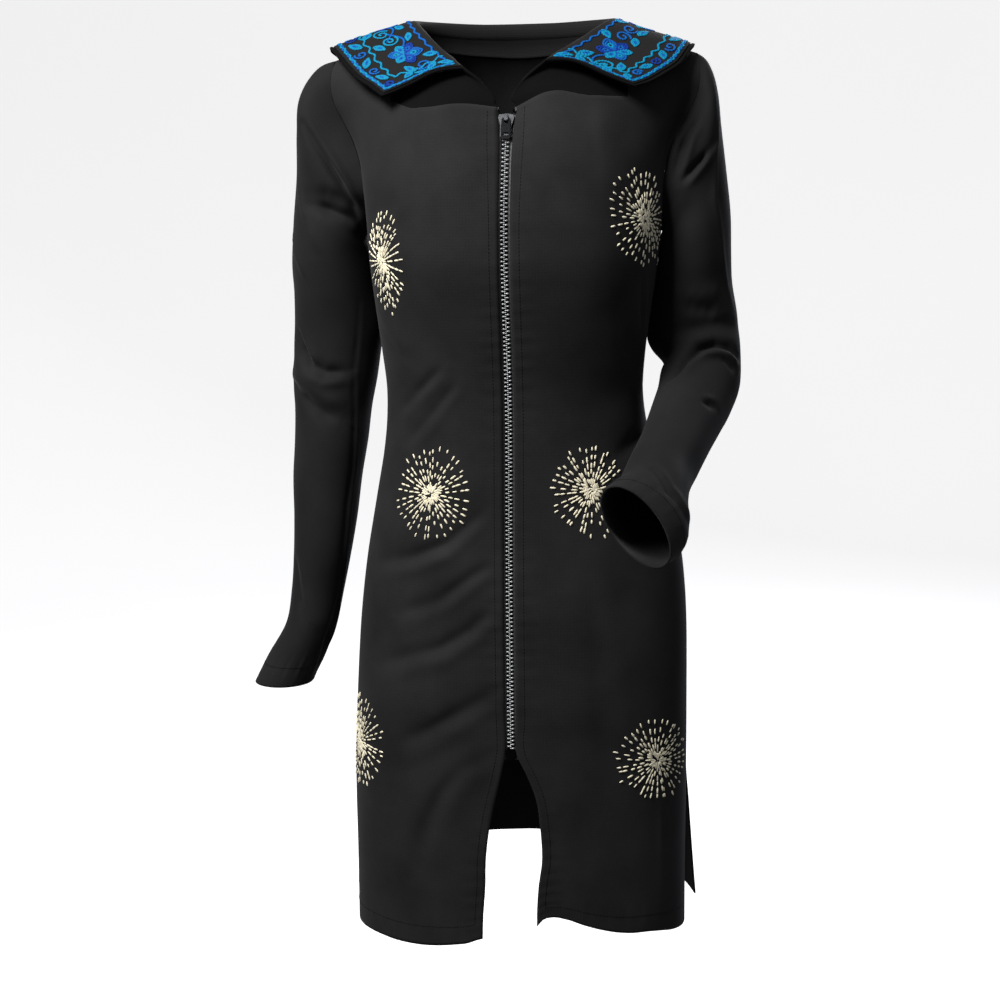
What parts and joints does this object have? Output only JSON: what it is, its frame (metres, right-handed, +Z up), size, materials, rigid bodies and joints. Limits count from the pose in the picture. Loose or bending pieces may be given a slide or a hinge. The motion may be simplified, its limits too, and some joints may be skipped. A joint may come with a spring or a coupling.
{
  "type": "long zip-fronted coat",
  "caption": "Long fitted black coat with a front zip, a wide embroidered fold-over collar and stitched starbursts, held in its worn shape with one sleeve bent.",
  "frame": {"origin": "the middle of the neck opening, level with the top of the shoulders, where the worn coat is held", "axes": "+Z up, -Y out of the coat's front, +X towards the wearer's left"},
  "size_m": [0.5354, 0.3868, 0.997],
  "materials": {
    "jersey": "matt double-knit",
    "facing": "woven facing with chain-stitch embroidery",
    "zip_tape": "woven tape",
    "zip_teeth": "silver-grey moulded teeth",
    "zip_metal": "dark nickel"
  },
  "bodies": {
    "coat": {"front_left": "jersey", "front_right": "jersey", "back": "jersey", "sleeve_left": "jersey", "sleeve_right": "jersey", "collar": "jersey", "collar_facing": "facing", "zip_tape_left": "zip_tape", "zip_tape_right": "zip_tape", "zip_chain_left": "zip_teeth", "zip_chain_right": "zip_teeth", "zip_bottom_stop": "zip_metal", "zip_top_stop_left": "zip_metal", "zip_top_stop_right": "zip_metal", "zip_slider": "zip_metal"},
    "pull": {"zip_pull_tab": "zip_metal"}
  },
  "joints": [
    {"name": "zip_pull_hinge", "type": "hinge", "parent": "coat", "child": "pull", "pos_m": [0, -0.08656, -0.08918], "axis": [1, 0, 0], "range_deg": [-160, 0]}
  ]
}
